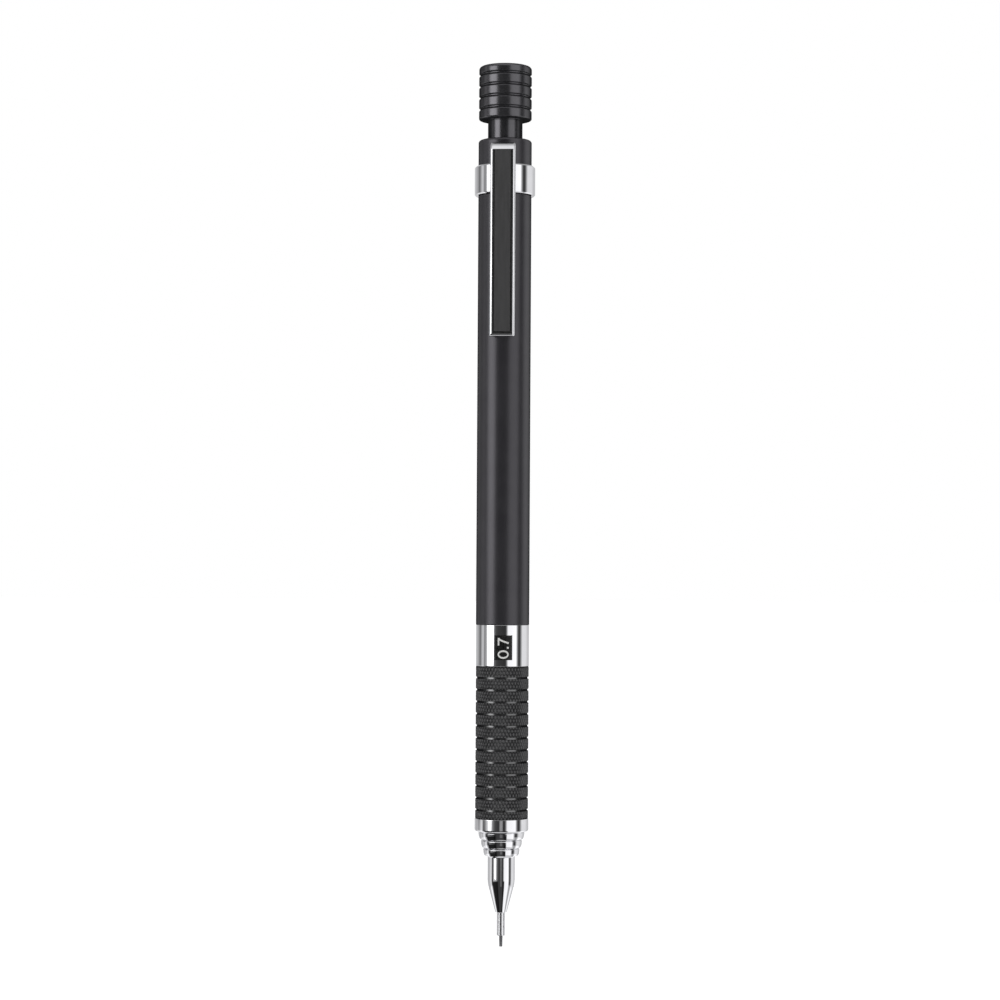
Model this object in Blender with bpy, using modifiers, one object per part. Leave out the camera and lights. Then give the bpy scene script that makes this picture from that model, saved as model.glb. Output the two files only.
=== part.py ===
"""Clutch-type mechanical pencil, tip down, as an assembly of separate solids.

Units are metres with +Z up along the pencil's axis. The origin lies on the axis at the
middle of the hand grip, and the clip faces -Y. Sizes below are in millimetres, and
heights are measured up from the end of the writing lead.
"""

import math

import bmesh
import bpy
from mathutils import Matrix, Vector

MM = 0.001

# ---- Driving dimensions (millimetres) ----------------------------------------------

SEGMENTS = 36
FINE_SEGMENTS = 20
CLEARANCE = 0.05  # radial gap between parts that are assembled into each other

LEAD_RADIUS = 0.35
LEAD_BORE = 0.40

LEAD_SLEEVE_END = 1.8
NOSE_END = 5.55
GRIP_BOTTOM = 20.8
GRIP_TOP = 45.6
RING_BOTTOM = 45.66
RING_TOP = 52.26
BARREL_BOTTOM = 52.32
BARREL_TOP = 122.5
COLLAR_BOTTOM = 122.55
COLLAR_TOP = 127.35
CAP_BOTTOM = 127.4
CAP_TOP = 131.65
KNOB_BOTTOM = 135.05
KNOB_TOP = 143.83

BARREL_RADIUS = 4.35
GRIP_RADIUS = 4.31
GRIP_GROOVE_RADIUS = 4.14
RING_RADIUS = 4.33
COLLAR_RADIUS = 4.95
CAP_RADIUS = 4.36
NECK_RADIUS = 2.83
KNOB_RADIUS = 4.32
KNOB_GROOVE_RADIUS = 4.12

GRIP_CENTRE = (GRIP_BOTTOM + GRIP_TOP) / 2

# Grip: thirteen bands between twelve shallow grooves.
GROOVE_COUNT = 12
GROOVE_PITCH = 1.949
FIRST_GROOVE = 22.27
GROOVE_WIDTH = 0.40

# Nose: a taper, a straight shank, then four stepped rings.
NOSE_END_RADIUS = 0.95
NOSE_SHANK_RADIUS = 2.22
NOSE_SHANK_BOTTOM = 10.45
NOSE_STEPS = ((14.7, 2.96), (16.0, 3.36), (17.4, 3.76), (18.75, 4.39))
STEP_ROUNDING = 0.38

# Screwed joint between nose, grip and barrel.
NOSE_SPIGOT_TOP = 26.0
NOSE_SPIGOT_RADIUS = 3.30
GRIP_BORE_RADIUS = NOSE_SPIGOT_RADIUS + CLEARANCE
COUPLER_BOTTOM = 38.0
COUPLER_TOP = 60.0
COUPLER_BORE = 2.75
BARREL_BORE_RADIUS = 3.35

# Clutch: a guide sleeve fixed in the grip, a ring that slides below its floor, and
# three jaws that the ring holds shut.
GUIDE_BOTTOM = 19.2
GUIDE_FLOOR = 1.0
GUIDE_TOP = 37.8
GUIDE_RADIUS = 2.70
GUIDE_BORE = 2.38
GUIDE_HOLE = 1.20
NOSE_GUIDE_BORE = GUIDE_RADIUS + CLEARANCE

CLUTCH_TRAVEL = 1.0
CLUTCH_BOTTOM = 16.75
CLUTCH_TOP = GUIDE_BOTTOM - 0.05
CLUTCH_RADIUS = 2.08
CLUTCH_STOP = CLUTCH_BOTTOM - CLUTCH_TRAVEL - 0.05
CLUTCH_BORE_BOTTOM = 1.42
CLUTCH_BORE_TOP = 1.13

JAW_COUNT = 3
JAW_BOTTOM = 16.3
JAW_CONE_TOP = 19.0
JAW_TOP = 25.0
JAW_HEAD_RADIUS = 1.36
JAW_SHANK_RADIUS = 1.00
JAW_GRIP_RADIUS = 0.38
JAW_RELIEF_RADIUS = 0.55
JAW_GRIP_TOP = 19.5
JAW_ANGLE = math.radians(104)
JAW_HINGE_RADIUS = 0.78
JAW_HINGE_HEIGHT = JAW_TOP - 0.1

CHUCK_SHANK_TOP = 31.0
CHUCK_SHANK_RADIUS = 1.10

# Return spring around the chuck, between the guide's floor and the feed tube.
SPRING_BOTTOM = GUIDE_BOTTOM + GUIDE_FLOOR + 0.05
SPRING_TOP = 30.4
SPRING_WIRE = 0.19
SPRING_RADIUS = 1.95
SPRING_TURNS = 7
SPRING_POINTS_PER_TURN = 10

# Feed tube, which holds spare leads and carries the chuck, the eraser and the knob.
CONNECTOR_TOP = 42.0
CONNECTOR_RADIUS = 2.30
FEED_TUBE_BOTTOM = 36.0
FEED_TUBE_TOP = 132.0
FEED_TUBE_RADIUS = 1.95
FEED_TUBE_BORE = 1.60
SPARE_LEAD_COUNT = 4
SPARE_LEAD_LENGTH = 60.0
SPARE_LEAD_BOTTOM = 44.5
SPARE_LEAD_RADIUS = 0.35
SPARE_LEAD_CIRCLE = 0.95
WRITING_LEAD_LENGTH = 60.0

ERASER_HOLDER_BOTTOM = 128.5
ERASER_HOLDER_TOP = 137.8
ERASER_HOLDER_RADIUS = 2.32
ERASER_RADIUS = 1.95
ERASER_BOTTOM = 133.2
ERASER_TOP = 141.3

KNOB_SKIRT_BOTTOM = 118.5
KNOB_BORE = 2.38
KNOB_BORE_TOP = 142.0
KNOB_GROOVES = (136.8, 138.7, 140.55, 142.35)
KNOB_GROOVE_WIDTH = 0.62
KNOB_EDGE = 0.50

CAP_SPIGOT_BOTTOM = 110.0
CAP_SPIGOT_RADIUS = 3.62
CAP_SPIGOT_BORE = 2.90
BARREL_SOCKET_RADIUS = CAP_SPIGOT_RADIUS + CLEARANCE
BARREL_SOCKET_BOTTOM = 109.5

# Clip: a lug on the collar, a channel-shaped arm with a rounded root, and a face strip.
CLIP_TURN = math.radians(-3.6)  # the clip stands a little round the axis from -Y
LUG_WIDTH = 3.2
LUG_INNER = 4.66
LUG_OUTER = 5.34
LUG_TOP = 129.05
CLIP_WIDTH = 4.08
CLIP_FACE = 6.25
CLIP_BACK = 5.15
CLIP_SHEET = 0.36
CLIP_END = 99.0
CLIP_TOP = 130.55
CLIP_ROOT_INNER = 4.85
CLIP_ROOT_BOTTOM = 129.15
CLIP_TOE = 4.42
CLIP_CHANNEL_BOTTOM = 102.2
INLAY_WIDTH = 2.90
INLAY_BOTTOM = 99.5
INLAY_TOP = 129.3
INLAY_DEPTH = 0.12
INLAY_GAP = 0.05
CLIP_HINGE = (5.55, 129.7)

# Lead-size badge set into the chrome ring.
BADGE_WIDTH = 2.83
BADGE_BOTTOM = 46.7
BADGE_TOP = 50.65
BADGE_DEPTH = 0.35
BADGE_GAP = 0.04


def height(value):
    """World Z in metres of a height given in millimetres above the lead's end."""
    return (value - GRIP_CENTRE) * MM


# ---- Scene, collections and materials ----------------------------------------------

for old in list(bpy.data.objects):
    bpy.data.objects.remove(old, do_unlink=True)

pencil = bpy.data.collections.new("mechanical_pencil")
bpy.context.scene.collection.children.link(pencil)
cutters = bpy.data.collections.new("pencil_cutters")
bpy.context.scene.collection.children.link(cutters)


def material(name, colour, roughness, metallic):
    mat = bpy.data.materials.new(name)
    mat.use_nodes = True
    shader = mat.node_tree.nodes["Principled BSDF"]
    shader.inputs["Base Color"].default_value = (*colour, 1.0)
    shader.inputs["Roughness"].default_value = roughness
    shader.inputs["Metallic"].default_value = metallic
    return mat


MATTE_BLACK = material("barrel_matte_black", (0.018, 0.018, 0.019), 0.42, 0.0)
GLOSS_BLACK = material("cap_gloss_black", (0.012, 0.012, 0.013), 0.22, 0.0)
GRIP_BLACK = material("grip_anodised_black", (0.016, 0.016, 0.017), 0.35, 0.6)
CHROME = material("chrome", (0.80, 0.81, 0.82), 0.08, 1.0)
STEEL = material("stainless_steel", (0.62, 0.62, 0.63), 0.22, 1.0)
SPRING_STEEL = material("spring_steel", (0.50, 0.50, 0.50), 0.30, 1.0)
BRASS = material("brass", (0.78, 0.58, 0.26), 0.28, 1.0)
GRAPHITE = material("graphite", (0.05, 0.05, 0.055), 0.50, 0.0)
RUBBER = material("retainer_rubber", (0.03, 0.03, 0.03), 0.80, 0.0)
ERASER_WHITE = material("eraser_white", (0.85, 0.85, 0.83), 0.75, 0.0)
TUBE_PLASTIC = material("feed_tube_plastic", (0.10, 0.10, 0.11), 0.45, 0.0)
BADGE_BLACK = material("badge_black", (0.010, 0.010, 0.010), 0.30, 0.0)


# ---- Construction helpers ----------------------------------------------------------


def add_mesh(name, mesh, mat, collection=pencil):
    """Adds a mesh as a named object with one material."""
    mesh.materials.clear()
    mesh.materials.append(mat)
    obj = bpy.data.objects.new(name, mesh)
    collection.objects.link(obj)
    return obj


def smooth(obj, angle=math.radians(35)):
    """Smooth shading that keeps edges sharper than the angle."""
    obj.data.shade_smooth()
    obj.data.set_sharp_from_angle(angle=angle)


def mesh_from(bm, name):
    mesh = bpy.data.meshes.new(name)
    bm.to_mesh(mesh)
    bm.free()
    return mesh


def turned(name, profile, mat, segments=SEGMENTS):
    """A turned part from (radius, height) points, down the outside and up the bore."""
    bm = bmesh.new()
    points = [bm.verts.new((r * MM, 0, height(h))) for r, h in profile]
    solid = profile[0][0] == 0
    pairs = list(zip(points, points[1:]))
    if not solid:
        pairs.append((points[-1], points[0]))
    for start, end in pairs:
        bm.edges.new((start, end))
    obj = add_mesh(name, mesh_from(bm, name), mat)
    screw = obj.modifiers.new("Turned", "SCREW")
    screw.axis = "Z"
    screw.angle = math.tau
    screw.steps = segments
    screw.render_steps = segments
    screw.use_smooth_shade = True
    if solid:
        screw.use_merge_vertices = True
        screw.merge_threshold = 1e-6
    return obj


def rounded_corner(corner_radius, corner_height, size, start, steps=2):
    """Points on a quarter arc inside an outer corner.

    start is "top" for a corner met from above the part, whose arc runs outwards and
    down, and "bottom" for a corner met from the side, whose arc runs down and inwards.
    """
    points = []
    for i in range(steps + 1):
        angle = i / steps * math.pi / 2
        if start == "top":
            radius = corner_radius - size + size * math.sin(angle)
            level = corner_height - size + size * math.cos(angle)
        else:
            radius = corner_radius - size + size * math.cos(angle)
            level = corner_height + size - size * math.sin(angle)
        points.append((radius, level))
    return points


def groove(radius, floor_radius, middle, width):
    """A V-shaped groove round the outside, met from above."""
    return [(radius, middle + width / 2), (floor_radius, middle), (radius, middle - width / 2)]


def tube(name, outer, bore, bottom, top, mat, segments=SEGMENTS):
    """A plain tube."""
    profile = [(outer, top), (outer, bottom), (bore, bottom), (bore, top)]
    return turned(name, profile, mat, segments)


def rod(name, radius, bottom, top, mat, segments=FINE_SEGMENTS):
    """A plain round bar on the axis."""
    profile = [(0, top), (radius, top), (radius, bottom), (0, bottom)]
    return turned(name, profile, mat, segments)


def box(name, low, high, mat, collection=pencil):
    """A box from its low and high corners in millimetres above the lead's end."""
    bm = bmesh.new()
    bmesh.ops.create_cube(bm, size=1.0)
    size = Vector(high) - Vector(low)
    middle = (Vector(high) + Vector(low)) / 2
    middle.z -= GRIP_CENTRE
    bmesh.ops.scale(bm, vec=size * MM, verts=bm.verts)
    bmesh.ops.translate(bm, vec=middle * MM, verts=bm.verts)
    return add_mesh(name, mesh_from(bm, name), mat, collection)


def side_plate(name, outline, width, mat, collection=pencil):
    """A plate across X from an outline of (distance in front of the axis, height)."""
    curve = bpy.data.curves.new(name, "CURVE")
    curve.dimensions = "2D"
    curve.fill_mode = "BOTH"
    curve.extrude = width / 2 * MM
    spline = curve.splines.new("POLY")
    spline.points.add(len(outline) - 1)
    for point, (distance, level) in zip(spline.points, outline):
        point.co = (-distance * MM, height(level), 0, 1)
    spline.use_cyclic_u = True
    drawn = bpy.data.objects.new(name, curve)
    bpy.context.scene.collection.objects.link(drawn)
    # The curve's X becomes world Y, and its Y becomes world Z.
    drawn.matrix_world = Matrix(((0, 0, 1, 0), (1, 0, 0, 0), (0, 1, 0, 0), (0, 0, 0, 1)))
    bpy.context.view_layer.update()
    graph = bpy.context.evaluated_depsgraph_get()
    mesh = bpy.data.meshes.new_from_object(drawn.evaluated_get(graph))
    mesh.transform(drawn.matrix_world)
    bm = bmesh.new()
    bm.from_mesh(mesh)
    bmesh.ops.remove_doubles(bm, verts=bm.verts, dist=1e-7)
    bmesh.ops.recalc_face_normals(bm, faces=bm.faces)
    bm.to_mesh(mesh)
    bm.free()
    bpy.data.objects.remove(drawn)
    return add_mesh(name, mesh, mat, collection)


def boolean(obj, other, operation):
    """Cuts, keeps or joins with another mesh, which becomes a hidden guide."""
    if other.name in pencil.objects:
        pencil.objects.unlink(other)
        cutters.objects.link(other)
    other.hide_render = True
    other.display_type = "WIRE"
    modifier = obj.modifiers.new(operation.title(), "BOOLEAN")
    modifier.operation = operation
    modifier.solver = "EXACT"
    modifier.object = other


def empty_at(name, distance, level):
    """A pivot on the plane of symmetry, in front of the axis by the distance given."""
    pivot = bpy.data.objects.new(name, None)
    pivot.location = (0, -distance * MM, height(level))
    pencil.objects.link(pivot)
    return pivot


def hang_from(obj, pivot):
    """Parents an object to a pivot without moving it."""
    bpy.context.view_layer.update()
    obj.parent = pivot
    obj.matrix_parent_inverse = pivot.matrix_world.inverted()


# ---- Nose --------------------------------------------------------------------------


def nose_cone():
    """Chromed nose: stepped rings, a straight shank and a taper to the lead sleeve."""
    profile = [(NOSE_SPIGOT_RADIUS, NOSE_SPIGOT_TOP), (NOSE_SPIGOT_RADIUS, GRIP_BOTTOM)]
    for level, radius in reversed(NOSE_STEPS):
        if radius == NOSE_STEPS[-1][1]:
            profile.append((radius, GRIP_BOTTOM))
        else:
            profile += rounded_corner(radius, profile[-1][1], STEP_ROUNDING, "top")
        profile += rounded_corner(radius, level, STEP_ROUNDING, "bottom")
    profile.append((NOSE_SHANK_RADIUS, NOSE_STEPS[0][0]))
    profile.append((NOSE_SHANK_RADIUS, NOSE_SHANK_BOTTOM + 0.2))
    profile.append((NOSE_SHANK_RADIUS - 0.06, NOSE_SHANK_BOTTOM - 0.3))
    profile.append((NOSE_END_RADIUS, NOSE_END + 0.1))
    profile.append((NOSE_END_RADIUS - 0.1, NOSE_END))
    sleeve_hole = 0.72
    retainer_seat = 1.35
    jaw_room = 1.66
    clutch_room = CLUTCH_RADIUS + CLEARANCE
    profile.append((sleeve_hole, NOSE_END))
    profile.append((sleeve_hole, 9.7))
    profile.append((retainer_seat, 9.7))
    profile.append((retainer_seat, 12.2))
    profile.append((jaw_room, 12.4))
    profile.append((jaw_room, CLUTCH_STOP))
    profile.append((clutch_room, CLUTCH_STOP))
    profile.append((clutch_room, GUIDE_BOTTOM - 0.05))
    profile.append((NOSE_GUIDE_BORE, GUIDE_BOTTOM - 0.05))
    profile.append((NOSE_GUIDE_BORE, NOSE_SPIGOT_TOP))
    return turned("nose_cone", profile, CHROME)


def nose_inner_parts():
    tube("lead_sleeve", 0.67, LEAD_BORE, LEAD_SLEEVE_END, 9.6, STEEL, FINE_SEGMENTS)
    tube("lead_retainer", 1.30, LEAD_BORE, 9.75, 12.0, RUBBER, FINE_SEGMENTS)


# ---- Grip, chrome ring and badge ---------------------------------------------------


def grip_sleeve():
    """Grip tube with evenly spaced grooves between its bands."""
    edge = 0.12
    profile = [(GRIP_RADIUS - edge, GRIP_TOP), (GRIP_RADIUS, GRIP_TOP - edge)]
    for i in reversed(range(GROOVE_COUNT)):
        middle = FIRST_GROOVE + i * GROOVE_PITCH
        profile += groove(GRIP_RADIUS, GRIP_GROOVE_RADIUS, middle, GROOVE_WIDTH)
    profile.append((GRIP_RADIUS, GRIP_BOTTOM + edge + CLEARANCE))
    profile.append((GRIP_RADIUS - edge, GRIP_BOTTOM + CLEARANCE))
    profile.append((GRIP_BORE_RADIUS, GRIP_BOTTOM + CLEARANCE))
    profile.append((GRIP_BORE_RADIUS, GRIP_TOP))
    return turned("grip_sleeve", profile, GRIP_BLACK, 32)


def badge_block(name, grow, inner, outer, collection):
    """The badge's outline as a block in front of the axis, grown by a margin."""
    half = BADGE_WIDTH / 2 + grow
    low = (-half, -outer, BADGE_BOTTOM - grow)
    high = (half, -inner, BADGE_TOP + grow)
    return box(name, low, high, BADGE_BLACK, collection)


def spacer_ring():
    """Chromed ring between grip and barrel, with a shallow pocket for the badge."""
    edge = 0.12
    profile = [(RING_RADIUS - edge, RING_TOP), (RING_RADIUS, RING_TOP - edge)]
    profile.append((RING_RADIUS, RING_BOTTOM + edge))
    profile.append((RING_RADIUS - edge, RING_BOTTOM))
    profile.append((GRIP_BORE_RADIUS, RING_BOTTOM))
    profile.append((GRIP_BORE_RADIUS, RING_TOP))
    ring = turned("spacer_ring", profile, CHROME)
    floor = RING_RADIUS - BADGE_DEPTH - BADGE_GAP
    boolean(ring, badge_block("badge_pocket", BADGE_GAP, floor, 5.5, cutters), "DIFFERENCE")
    return ring


def size_badge():
    """Badge whose face follows the ring."""
    badge = badge_block("size_badge", 0.0, RING_RADIUS - BADGE_DEPTH, 5.5, pencil)
    face = rod("badge_face", RING_RADIUS, BADGE_BOTTOM - 1, BADGE_TOP + 1, BADGE_BLACK, 72)
    boolean(badge, face, "INTERSECT")
    return badge


# ---- Barrel, cap and collar --------------------------------------------------------


def barrel_parts():
    edge = 0.10
    profile = [(BARREL_RADIUS - edge, BARREL_TOP), (BARREL_RADIUS, BARREL_TOP - edge)]
    profile.append((BARREL_RADIUS, BARREL_BOTTOM + edge))
    profile.append((BARREL_RADIUS - edge, BARREL_BOTTOM))
    profile.append((BARREL_BORE_RADIUS, BARREL_BOTTOM))
    profile.append((BARREL_BORE_RADIUS, BARREL_SOCKET_BOTTOM))
    profile.append((BARREL_SOCKET_RADIUS, BARREL_SOCKET_BOTTOM))
    profile.append((BARREL_SOCKET_RADIUS, BARREL_TOP))
    turned("barrel_tube", profile, MATTE_BLACK)
    coupler_radius = BARREL_BORE_RADIUS - CLEARANCE
    tube("barrel_coupler", coupler_radius, COUPLER_BORE, COUPLER_BOTTOM, COUPLER_TOP, BRASS)


def top_cap():
    """Cap screwed into the barrel's end, whose spigot holds the clip's collar."""
    profile = rounded_corner(CAP_RADIUS, CAP_TOP, 0.4, "top")
    profile.append((CAP_RADIUS, CAP_BOTTOM))
    profile.append((CAP_SPIGOT_RADIUS, CAP_BOTTOM))
    profile.append((CAP_SPIGOT_RADIUS, CAP_SPIGOT_BOTTOM))
    profile.append((CAP_SPIGOT_BORE, CAP_SPIGOT_BOTTOM))
    profile.append((CAP_SPIGOT_BORE, CAP_TOP - 0.25))
    profile.append((CAP_SPIGOT_BORE + 0.25, CAP_TOP))
    return turned("top_cap", profile, GLOSS_BLACK)


def clip_collar():
    """Chromed collar with the lug that carries the clip arm."""
    edge = 0.42
    profile = rounded_corner(COLLAR_RADIUS, COLLAR_TOP, edge, "top")
    profile += rounded_corner(COLLAR_RADIUS, COLLAR_BOTTOM, edge, "bottom")
    profile.append((BARREL_SOCKET_RADIUS, COLLAR_BOTTOM))
    profile.append((BARREL_SOCKET_RADIUS, COLLAR_TOP))
    collar = turned("clip_collar", profile, CHROME)
    low = (-LUG_WIDTH / 2, -LUG_OUTER, COLLAR_BOTTOM + 1.0)
    high = (LUG_WIDTH / 2, -LUG_INNER, LUG_TOP)
    lug = box("clip_lug", low, high, CHROME, cutters)
    lug.rotation_euler.z = CLIP_TURN
    boolean(collar, lug, "UNION")
    return collar


# ---- Clip --------------------------------------------------------------------------


def clip_outline():
    """Side view of the clip arm: rounded root at the top, rounded toe at the bottom."""
    root_middle = (CLIP_FACE + CLIP_ROOT_INNER) / 2
    root_radius = (CLIP_FACE - CLIP_ROOT_INNER) / 2
    outline = [(CLIP_BACK, CLIP_ROOT_BOTTOM), (CLIP_ROOT_INNER, CLIP_ROOT_BOTTOM)]
    arc_steps = 10
    for i in range(arc_steps + 1):
        angle = math.pi * (1 - i / arc_steps)
        distance = root_middle + root_radius * math.cos(angle)
        level = CLIP_TOP - root_radius + root_radius * math.sin(angle)
        outline.append((distance, level))
    end_radius = 0.45
    for i in range(6):
        angle = i / 5 * math.pi / 2
        distance = CLIP_FACE - end_radius + end_radius * math.cos(angle)
        level = CLIP_END + end_radius - end_radius * math.sin(angle)
        outline.append((distance, level))
    toe_radius = 0.9
    for i in range(8):
        angle = math.pi / 2 + i / 7 * math.pi / 2
        distance = CLIP_TOE + toe_radius + toe_radius * math.cos(angle)
        level = CLIP_END + toe_radius - toe_radius * math.sin(angle)
        outline.append((distance, level))
    outline.append((CLIP_TOE + 0.12, CLIP_END + 1.6))
    outline.append((CLIP_BACK, CLIP_END + 3.6))
    return outline


def clip_arm():
    """Sprung clip arm: a channel pressed from sheet, open towards the barrel."""
    arm = side_plate("clip_arm", clip_outline(), CLIP_WIDTH, CHROME)
    inner = CLIP_WIDTH / 2 - CLIP_SHEET
    low = (-inner, -(CLIP_FACE - CLIP_SHEET), CLIP_CHANNEL_BOTTOM)
    high = (inner, -3.5, CLIP_ROOT_BOTTOM + 0.02)
    boolean(arm, box("clip_channel", low, high, CHROME, cutters), "DIFFERENCE")
    half = INLAY_WIDTH / 2 + INLAY_GAP
    low = (-half, -(CLIP_FACE + 1), INLAY_BOTTOM - INLAY_GAP)
    high = (half, -(CLIP_FACE - INLAY_DEPTH - INLAY_GAP), INLAY_TOP + INLAY_GAP)
    boolean(arm, box("inlay_pocket", low, high, CHROME, cutters), "DIFFERENCE")
    return arm


def clip_inlay():
    """Black strip set into the clip's face."""
    low = (-INLAY_WIDTH / 2, -CLIP_FACE, INLAY_BOTTOM)
    high = (INLAY_WIDTH / 2, -(CLIP_FACE - INLAY_DEPTH), INLAY_TOP)
    return box("clip_inlay", low, high, MATTE_BLACK)


def clip():
    """Arm and inlay on the pivot at the arm's root, turned with the lug."""
    pivot = empty_at("clip_pivot", *CLIP_HINGE)
    arm = clip_arm()
    inlay = clip_inlay()
    guides = [modifier.object for modifier in arm.modifiers]
    for piece in [arm, inlay, *guides]:
        hang_from(piece, pivot)
    turn = Matrix.Rotation(CLIP_TURN, 4, "Z")
    pivot.location = turn @ pivot.location
    pivot.rotation_euler.z = CLIP_TURN


# ---- Clutch and feed ---------------------------------------------------------------


def guide_sleeve():
    """Brass sleeve clamped between nose and coupler, with a floor for the spring."""
    floor_top = GUIDE_BOTTOM + GUIDE_FLOOR
    profile = [(GUIDE_RADIUS, GUIDE_TOP), (GUIDE_RADIUS, GUIDE_BOTTOM)]
    profile.append((GUIDE_HOLE, GUIDE_BOTTOM))
    profile.append((GUIDE_HOLE, floor_top))
    profile.append((GUIDE_BORE, floor_top))
    profile.append((GUIDE_BORE, GUIDE_TOP))
    return turned("guide_sleeve", profile, BRASS)


def clutch_ring():
    """Ring whose tapered bore holds the jaws shut."""
    profile = [(CLUTCH_RADIUS, CLUTCH_TOP), (CLUTCH_RADIUS, CLUTCH_BOTTOM)]
    profile.append((CLUTCH_BORE_BOTTOM, CLUTCH_BOTTOM))
    profile.append((CLUTCH_BORE_TOP, CLUTCH_TOP))
    return turned("clutch_ring", profile, BRASS, 36)


def chuck_jaw(index):
    """One jaw of the chuck, a sector turned about the axis, on its own pivot."""
    profile = [(JAW_SHANK_RADIUS, JAW_TOP), (JAW_SHANK_RADIUS, JAW_CONE_TOP)]
    profile.append((JAW_HEAD_RADIUS, JAW_BOTTOM + 0.2))
    profile.append((JAW_HEAD_RADIUS - 0.2, JAW_BOTTOM))
    profile.append((JAW_GRIP_RADIUS, JAW_BOTTOM))
    profile.append((JAW_GRIP_RADIUS, JAW_GRIP_TOP))
    profile.append((JAW_RELIEF_RADIUS, JAW_GRIP_TOP))
    profile.append((JAW_RELIEF_RADIUS, JAW_TOP))
    facing = index * math.tau / JAW_COUNT
    first = Matrix.Rotation(facing - JAW_ANGLE / 2, 3, "Z")
    bm = bmesh.new()
    corners = [bm.verts.new(first @ Vector((r * MM, 0, height(h)))) for r, h in profile]
    section = bm.faces.new(corners)
    bmesh.ops.spin(
        bm,
        geom=[section],
        axis=(0, 0, 1),
        cent=(0, 0, 0),
        angle=JAW_ANGLE,
        steps=8,
        use_merge=False,
        use_duplicate=False,
    )
    bmesh.ops.recalc_face_normals(bm, faces=bm.faces)
    name = f"chuck_jaw_{index + 1}"
    jaw = add_mesh(name, mesh_from(bm, name), BRASS)
    smooth(jaw)
    pivot = bpy.data.objects.new(f"{name}_pivot", None)
    reach = JAW_HINGE_RADIUS * MM
    pivot.location = (reach * math.cos(facing), reach * math.sin(facing), height(JAW_HINGE_HEIGHT))
    pencil.objects.link(pivot)
    hang_from(jaw, pivot)
    return jaw


def chuck_body():
    """Shank of the chuck, above the jaws, which screws into the connector."""
    return tube(
        "chuck_body", CHUCK_SHANK_RADIUS, JAW_RELIEF_RADIUS, JAW_TOP + 0.08,
        CHUCK_SHANK_TOP, BRASS, FINE_SEGMENTS,
    )


def return_spring():
    """Coil spring with closed end turns, as one wire."""
    wire = SPRING_WIRE
    low = SPRING_BOTTOM + wire
    span = SPRING_TOP - SPRING_BOTTOM - 2 * wire
    closed_rise = 2 * wire + 0.04
    count = SPRING_TURNS * SPRING_POINTS_PER_TURN
    curve = bpy.data.curves.new("return_spring", "CURVE")
    curve.dimensions = "3D"
    curve.bevel_depth = wire * MM
    curve.bevel_resolution = 2
    curve.use_fill_caps = True
    spline = curve.splines.new("POLY")
    spline.points.add(count)
    for i, point in enumerate(spline.points):
        turn = i / SPRING_POINTS_PER_TURN
        angle = math.tau * turn
        if turn <= 1:
            level = low + closed_rise * turn
        elif turn >= SPRING_TURNS - 1:
            level = low + span - closed_rise * (SPRING_TURNS - turn)
        else:
            share = (turn - 1) / (SPRING_TURNS - 2)
            level = low + closed_rise + (span - 2 * closed_rise) * share
        x = SPRING_RADIUS * math.cos(angle) * MM
        y = SPRING_RADIUS * math.sin(angle) * MM
        point.co = (x, y, height(level), 1)
    obj = bpy.data.objects.new("return_spring", curve)
    pencil.objects.link(obj)
    curve.materials.append(SPRING_STEEL)
    return obj


def feed_tube_parts():
    """Connector, long feed tube and the leads stored in it."""
    connector_seat = 30.5
    profile = [(CONNECTOR_RADIUS, CONNECTOR_TOP), (CONNECTOR_RADIUS, connector_seat)]
    profile.append((CHUCK_SHANK_RADIUS + CLEARANCE, connector_seat))
    profile.append((CHUCK_SHANK_RADIUS + CLEARANCE, CHUCK_SHANK_TOP + CLEARANCE))
    profile.append((0.6, CHUCK_SHANK_TOP + CLEARANCE))
    profile.append((0.6, FEED_TUBE_BOTTOM - 1.5))
    profile.append((FEED_TUBE_BORE, FEED_TUBE_BOTTOM - CLEARANCE))
    profile.append((FEED_TUBE_RADIUS + CLEARANCE, FEED_TUBE_BOTTOM - CLEARANCE))
    profile.append((FEED_TUBE_RADIUS + CLEARANCE, CONNECTOR_TOP))
    turned("tube_connector", profile, BRASS)
    tube(
        "feed_tube", FEED_TUBE_RADIUS, FEED_TUBE_BORE, FEED_TUBE_BOTTOM, FEED_TUBE_TOP,
        TUBE_PLASTIC, 32,
    )
    for index in range(SPARE_LEAD_COUNT):
        angle = (index + 0.5) * math.tau / SPARE_LEAD_COUNT
        lead = rod(
            f"spare_lead_{index + 1}", SPARE_LEAD_RADIUS, SPARE_LEAD_BOTTOM,
            SPARE_LEAD_BOTTOM + SPARE_LEAD_LENGTH, GRAPHITE, 10,
        )
        reach = SPARE_LEAD_CIRCLE * MM
        lead.location = (reach * math.cos(angle), reach * math.sin(angle), 0)


def writing_lead():
    """Lead from its point to the feed tube, worn to a taper where it is bare."""
    worn = 1.4
    profile = [(0, WRITING_LEAD_LENGTH), (LEAD_RADIUS, WRITING_LEAD_LENGTH)]
    profile.append((LEAD_RADIUS, worn))
    profile.append((LEAD_RADIUS * 0.68, 0.06))
    profile.append((LEAD_RADIUS * 0.5, 0))
    profile.append((0, 0))
    return turned("writing_lead", profile, GRAPHITE, 16)


# ---- Eraser and knob ---------------------------------------------------------------


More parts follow.
